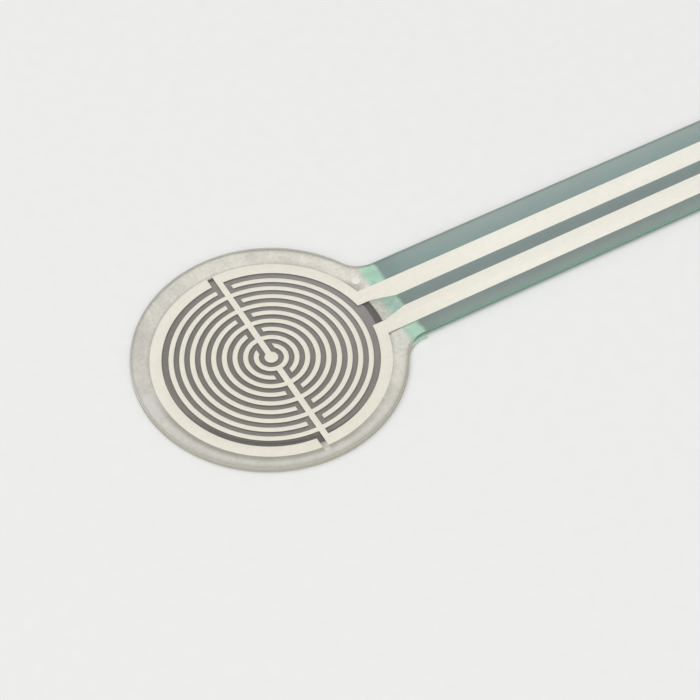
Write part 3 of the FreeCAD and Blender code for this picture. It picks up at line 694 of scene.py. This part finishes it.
def finger_tree():
    """The node tree that prints the rings of fingers round the middle. Each ring is a soft-edged bar of ink
    along an arc, with its two ends cut straight beside the other spine, and is joined to its feed."""
    tree = bpy.data.node_groups.new("ring_fingers", "GeometryNodeTree")
    sockets = tree.interface
    sockets.new_socket(name="Feed", in_out="INPUT", socket_type="NodeSocketGeometry")
    for label, kind in (
        ("Rings", "NodeSocketInt"),
        ("Points Round", "NodeSocketInt"),
        ("First Radius", "NodeSocketFloat"),
        ("Ring Step", "NodeSocketFloat"),
        ("Finger Width", "NodeSocketFloat"),
        ("Ink Height", "NodeSocketFloat"),
        ("Soft Edge", "NodeSocketFloat"),
        ("Half Opening", "NodeSocketFloat"),
        ("Opening Turn", "NodeSocketFloat"),
        ("Middle", "NodeSocketVector"),
        ("Waver", "NodeSocketFloat"),
        ("Ink", "NodeSocketMaterial"),
    ):
        sockets.new_socket(name=label, in_out="INPUT", socket_type=kind)
    sockets.new_socket(name="Print", in_out="OUTPUT", socket_type="NodeSocketGeometry")
    given = put(tree, "NodeGroupInput").outputs

    seats = put(
        tree, "GeometryNodeMeshLine",
        {"Count": given["Rings"], "Offset": (0.0, 0.0, 0.0)}, mode="OFFSET",
    )
    stroke = put(tree, "GeometryNodeCurvePrimitiveLine", {"End": (1.0, 0.0, 0.0)})
    stroke = put(
        tree, "GeometryNodeResampleCurve",
        {"Curve": stroke.outputs[0], "Count": given["Points Round"]},
    )
    strokes = put(
        tree, "GeometryNodeInstanceOnPoints",
        {"Points": seats.outputs[0], "Instance": stroke.outputs[0]},
    )
    strokes = put(tree, "GeometryNodeRealizeInstances", {"Geometry": strokes.outputs[0]}).outputs[0]

    number = put(tree, "GeometryNodeCurveOfPoint").outputs["Curve Index"]
    along = put(tree, "GeometryNodeSplineParameter").outputs["Factor"]
    middle_of_bar = sum_of(tree, "MULTIPLY_ADD", given["Finger Width"], 0.5, given["First Radius"])
    radius = sum_of(tree, "MULTIPLY_ADD", number, given["Ring Step"], middle_of_bar)

    def on_ring(reach, share):
        """A spot at some reach from the middle, a share of the way round between the ring's two ends."""
        gap = sum_of(tree, "ARCSINE", sum_of(tree, "DIVIDE", given["Half Opening"], reach))
        sweep = sum_of(tree, "MULTIPLY_ADD", gap, -2.0, 2 * pi)
        turn = sum_of(tree, "ADD", sum_of(tree, "MULTIPLY_ADD", share, sweep, gap), given["Opening Turn"])
        x = sum_of(tree, "MULTIPLY", sum_of(tree, "COSINE", turn), reach)
        y = sum_of(tree, "MULTIPLY", sum_of(tree, "SINE", turn), reach)
        return x, y

    x, y = on_ring(radius, along)
    spot = put(tree, "ShaderNodeCombineXYZ", {"X": x, "Y": y, "Z": 0.0}).outputs[0]
    strokes = put(tree, "GeometryNodeSetPosition", {"Geometry": strokes, "Position": spot}).outputs[0]
    strokes = put(
        tree, "GeometryNodeStoreNamedAttribute",
        {"Geometry": strokes, "Name": "way_round", "Value": along},
        data_type="FLOAT", domain="POINT",
    ).outputs[0]
    strokes = put(tree, "GeometryNodeSetCurveNormal", {"Curve": strokes}, mode="Z_UP").outputs[0]

    bar = put(
        tree, "GeometryNodeCurvePrimitiveQuadrilateral",
        {"Width": given["Finger Width"], "Height": given["Ink Height"]},
    ).outputs[0]
    bar = put(
        tree, "GeometryNodeFilletCurve",
        {"Curve": bar, "Radius": given["Soft Edge"], "Count": 2}, mode="POLY",
    ).outputs[0]
    rings = put(
        tree, "GeometryNodeCurveToMesh",
        {"Curve": strokes, "Profile Curve": bar, "Fill Caps": True},
    ).outputs[0]

    here = put(tree, "GeometryNodeInputPosition").outputs[0]
    here = put(tree, "ShaderNodeSeparateXYZ", {0: here}).outputs
    share = put(
        tree, "GeometryNodeInputNamedAttribute", {"Name": "way_round"}, data_type="FLOAT",
    ).outputs[0]
    lumps = put(tree, "ShaderNodeTexNoise", {"Scale": 1400.0, "Detail": 2.0}).outputs[0]
    wander = sum_of(tree, "MULTIPLY", sum_of(tree, "SUBTRACT", lumps, 0.5), given["Waver"])
    x, y = on_ring(sum_of(tree, "ADD", length_of(tree, here[0], here[1]), wander), share)
    straight = put(tree, "ShaderNodeCombineXYZ", {"X": x, "Y": y, "Z": here[2]}).outputs[0]
    rings = put(
        tree, "GeometryNodeSetPosition",
        {"Geometry": rings, "Position": straight, "Offset": given["Middle"]},
    ).outputs[0]
    rings = put(tree, "GeometryNodeRemoveAttribute", {"Geometry": rings, "Name": "way_round"}).outputs[0]

    joined = put(tree, "GeometryNodeMeshBoolean", operation="UNION", solver="MANIFOLD")
    tree.links.new(given["Feed"], joined.inputs["Mesh 2"])
    tree.links.new(rings, joined.inputs["Mesh 2"])
    whole = put(tree, "GeometryNodeRealizeInstances", {"Geometry": joined.outputs[0]}).outputs[0]
    whole = put(tree, "GeometryNodeSetMaterial", {"Geometry": whole, "Material": given["Ink"]}).outputs[0]
    put(tree, "NodeGroupOutput", {"Print": whole})
    return tree


def print_fingers(name, side, ink, tree):
    """One electrode: its feed, and every second ring of fingers, open on the side of the other spine."""
    feed = cut_layer(f"{name}_feed", [trunk_outline(side)], SILVER_Z, INK_EDGE, ink)
    first = FIRST_FINGER + (FINGER_PITCH if side > 0 else 0.0)
    sizes = {
        "Rings": UPPER_RINGS if side > 0 else LOWER_RINGS,
        "Points Round": 120,
        "First Radius": first * MM,
        "Ring Step": 2 * FINGER_PITCH * MM,
        "Finger Width": FINGER_W * MM,
        "Ink Height": (SILVER_Z[1] - SILVER_Z[0]) * MM,
        "Soft Edge": INK_EDGE * MM,
        "Half Opening": FINGER_END * MM,
        "Opening Turn": -side * pi / 2,
        "Middle": (0.0, PRINT_Y * MM, (SILVER_Z[0] + SILVER_Z[1]) / 2 * MM),
        "Waver": 0.02 * MM,
        "Ink": ink,
    }
    printer = feed.modifiers.new("ring_fingers", "NODES")
    printer.node_group = tree
    for item in tree.interface.items_tree:
        if item.in_out == "INPUT" and item.name in sizes:
            printer[item.identifier] = sizes[item.name]
    return plain_mesh(name, feed, ink)


def printed_dot(name, middle, radius, heights, material):
    """A round printed mark with a soft edge, a little domed underneath where the ink has flowed."""
    low, high = heights
    rows = [
        (0.40, low), (0.80, low + 0.001), (0.97, low + 0.006),
        (1.00, high - 0.004), (0.985, high - 0.001), (0.96, high), (0.50, high),
    ]
    dot = bmesh.new()
    rings = []
    for share, z in rows:
        spots = arc(middle, radius * share, 0, 360, 9)[:-1]
        rings.append([dot.verts.new((x * MM, y * MM, z * MM)) for x, y in spots])
    for lower, upper in zip(rings, rings[1:]):
        for number in range(len(lower)):
            after = (number + 1) % len(lower)
            dot.faces.new((lower[number], lower[after], upper[after], upper[number]))
    dot.faces.new(list(reversed(rings[0])))
    dot.faces.new(rings[-1])
    bmesh.ops.recalc_face_normals(dot, faces=dot.faces)
    mesh = bpy.data.meshes.new(name)
    dot.to_mesh(mesh)
    dot.free()
    mesh.materials.append(material)
    piece = bpy.data.objects.new(name, mesh)
    bpy.context.scene.collection.objects.link(piece)
    return piece


def softened_terminal(name, node, material):
    """A terminal's own shape with its stamped edges broken, so that they catch the light."""
    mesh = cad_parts[node].data.copy()
    piece = bpy.data.objects.new(name, mesh)
    bpy.context.scene.collection.objects.link(piece)
    shell = bmesh.new()
    shell.from_mesh(mesh)
    bmesh.ops.remove_doubles(shell, verts=shell.verts, dist=1e-6)
    bmesh.ops.dissolve_limit(shell, angle_limit=radians(1), verts=shell.verts, edges=shell.edges)
    shell.to_mesh(mesh)
    shell.free()
    bevel = piece.modifiers.new("broken_edges", "BEVEL")
    bevel.width = 0.025 * MM
    bevel.segments = 2
    bevel.limit_method = "ANGLE"
    bevel.angle_limit = radians(25)
    return plain_mesh(name, piece, material)


def photo_camera():
    """The camera where the photograph was taken from. Its focal length and the spot where it sees the
    print's middle are in pixels of the picture, and its distance from that middle is in metres."""
    picture = 700
    focal = 2187.41
    spot = (271.36 - picture / 2, 357.11 - picture / 2)
    distance = 0.144016
    height = radians(52.259)
    roll = radians(1.6526)
    round_part = Matrix.Rotation(radians(-27.4), 3, "Z")
    back = Vector((0, -cos(height), sin(height)))

    def axes(forward, up):
        """Right, down and forward for a line of sight and a rough up."""
        z = forward.normalized()
        x = z.cross(up).normalized()
        return Matrix((x, z.cross(x), z))

    in_world = axes(-back, Vector((0, 0, 1)))
    in_view = axes(Vector((spot[0] / focal, spot[1] / focal, 1)), Vector((-sin(roll), -cos(roll), 0)))
    rows = in_view.transposed() @ in_world
    right, up, behind = round_part @ rows[0], round_part @ -rows[1], round_part @ -rows[2]
    seat = Vector((0, PRINT_Y * MM, SILVER_Z[1] * MM)) + round_part @ back * distance
    lens = bpy.data.cameras.new("photo_camera")
    lens.sensor_width = 36
    lens.lens = focal / picture * lens.sensor_width
    lens.clip_start = 0.005
    lens.clip_end = 10
    camera = bpy.data.objects.new("photo_camera", lens)
    camera.matrix_world = Matrix((
        (right.x, up.x, behind.x, seat.x),
        (right.y, up.y, behind.y, seat.y),
        (right.z, up.z, behind.z, seat.z),
        (0, 0, 0, 1),
    ))
    bpy.context.scene.collection.objects.link(camera)
    bpy.context.scene.camera = camera


def soft_panel(name, place, aim, width, power):
    """A square panel light at a place, turned to a spot."""
    lamp = bpy.data.lights.new(name, "AREA")
    lamp.shape = "SQUARE"
    lamp.size = width
    lamp.energy = power
    panel = bpy.data.objects.new(name, lamp)
    panel.location = place
    panel.rotation_mode = "QUATERNION"
    panel.rotation_quaternion = (Vector(aim) - Vector(place)).to_track_quat("-Z", "Y")
    bpy.context.scene.collection.objects.link(panel)


def studio():
    """A pale floor, two soft panels of light, and an even sky that looks white where it is seen."""
    scene = bpy.context.scene
    scene.view_settings.view_transform = "Standard"
    world = bpy.data.worlds.new("even_sky")
    scene.world = world
    world.use_nodes = True
    tree = world.node_tree
    tree.nodes.clear()
    ray = put(tree, "ShaderNodeLightPath").outputs
    seen = sum_of(tree, "MAXIMUM", ray["Is Camera Ray"], ray["Is Transmission Ray"])
    seen = sum_of(tree, "MAXIMUM", seen, ray["Is Glossy Ray"])
    level = put(tree, "ShaderNodeMapRange", {"Value": seen, "To Min": 0.53, "To Max": 0.92}).outputs[0]
    sky = put(tree, "ShaderNodeBackground", {"Color": (0.98, 0.99, 1.0, 1.0), "Strength": level})
    put(tree, "ShaderNodeOutputWorld", {"Surface": sky.outputs[0]})

    soft_panel("top_panel", (-0.07, 0.10, 0.66), (0.012, 0, 0), 0.70, 2.15)
    soft_panel("front_panel", (-0.28, -0.48, 0.50), (0.012, 0, 0), 0.60, 1.65)

    mesh = bpy.data.meshes.new("pale_floor")
    half = 1.5
    corners = [(-half, -half, 0), (half, -half, 0), (half, half, 0), (-half, half, 0)]
    mesh.from_pydata(corners, [], [(0, 1, 2, 3)])
    floor = bpy.data.objects.new("pale_floor", mesh)
    scene.collection.objects.link(floor)
    material, tree, place, parts = new_finish("floor_paper")
    tone = mottle(tree, paint_tone(233, 233, 231), grain(tree, place, 0.9, 4.0), 0.012)
    paper = put(
        tree, "ShaderNodeBsdfPrincipled",
        {"Base Color": tone, "Roughness": 0.9, "Specular IOR Level": 0.1},
    )
    put(tree, "ShaderNodeOutputMaterial", {"Surface": paper.outputs[0]})
    mesh.materials.append(material)


photo_camera()
studio()

silver = silver_ink()
carbon = carbon_ink()
adhesive = milky_adhesive()
coat = cover_coat()
face_clear = face_film_finish()
back_clear = back_film_finish()
plate = tinned_plate()

for node, finish in (("carbon_layer", carbon), ("tail_cover", coat)):
    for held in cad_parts[node].material_slots:
        held.material = finish

back_line = film_outline(TONGUE_X, 0.0, TONGUE_CORNER, TONGUE_LIP)
back = cut_layer("back_film", [back_line], BACK_Z, FILM_EDGE, back_clear)
settle(back, "clear_film", "bottom_film")
spacer_line = film_outline(TONGUE_X, SPACER_INSET, TONGUE_CORNER, TONGUE_LIP)
opening = arc(OPENING, OPENING_R, 13, 347, ARC_STEP)
opening += arc(OPENING, OPENING_R + NECK_BULGE, -10, 9, ARC_STEP)
spacer = cut_layer("milky_spacer", [spacer_line, opening], SPACER_Z, SPACER_EDGE, adhesive)
settle(spacer, "adhesive", "spacer_ring")

fingers = finger_tree()
upper = print_fingers("upper_fingers", 1, silver, fingers)
settle(upper, "silver_print", "upper_electrode")
lower = print_fingers("lower_fingers", -1, silver, fingers)
settle(lower, "silver_print", "lower_electrode")

guard = cut_layer("guard_print", [guard_outline()], SILVER_Z, INK_EDGE, silver)
settle(guard, "silver_print", "guard_arc")
mark = printed_dot("mark_print", (MARK[0], MARK[1] + PRINT_Y), MARK_R, SILVER_Z, silver)
settle(mark, "silver_print", "print_mark")

face_lines = [film_outline(TAIL_X)] + slot_outlines()
face_piece = cut_layer("face_film", face_lines, FACE_Z, FILM_EDGE, face_clear)
settle(face_piece, "clear_film", "top_film")

for name, node in (("upper_terminal_plate", "upper_terminal"), ("lower_terminal_plate", "lower_terminal")):
    settle(softened_terminal(name, node, plate), "tinned_metal", node)
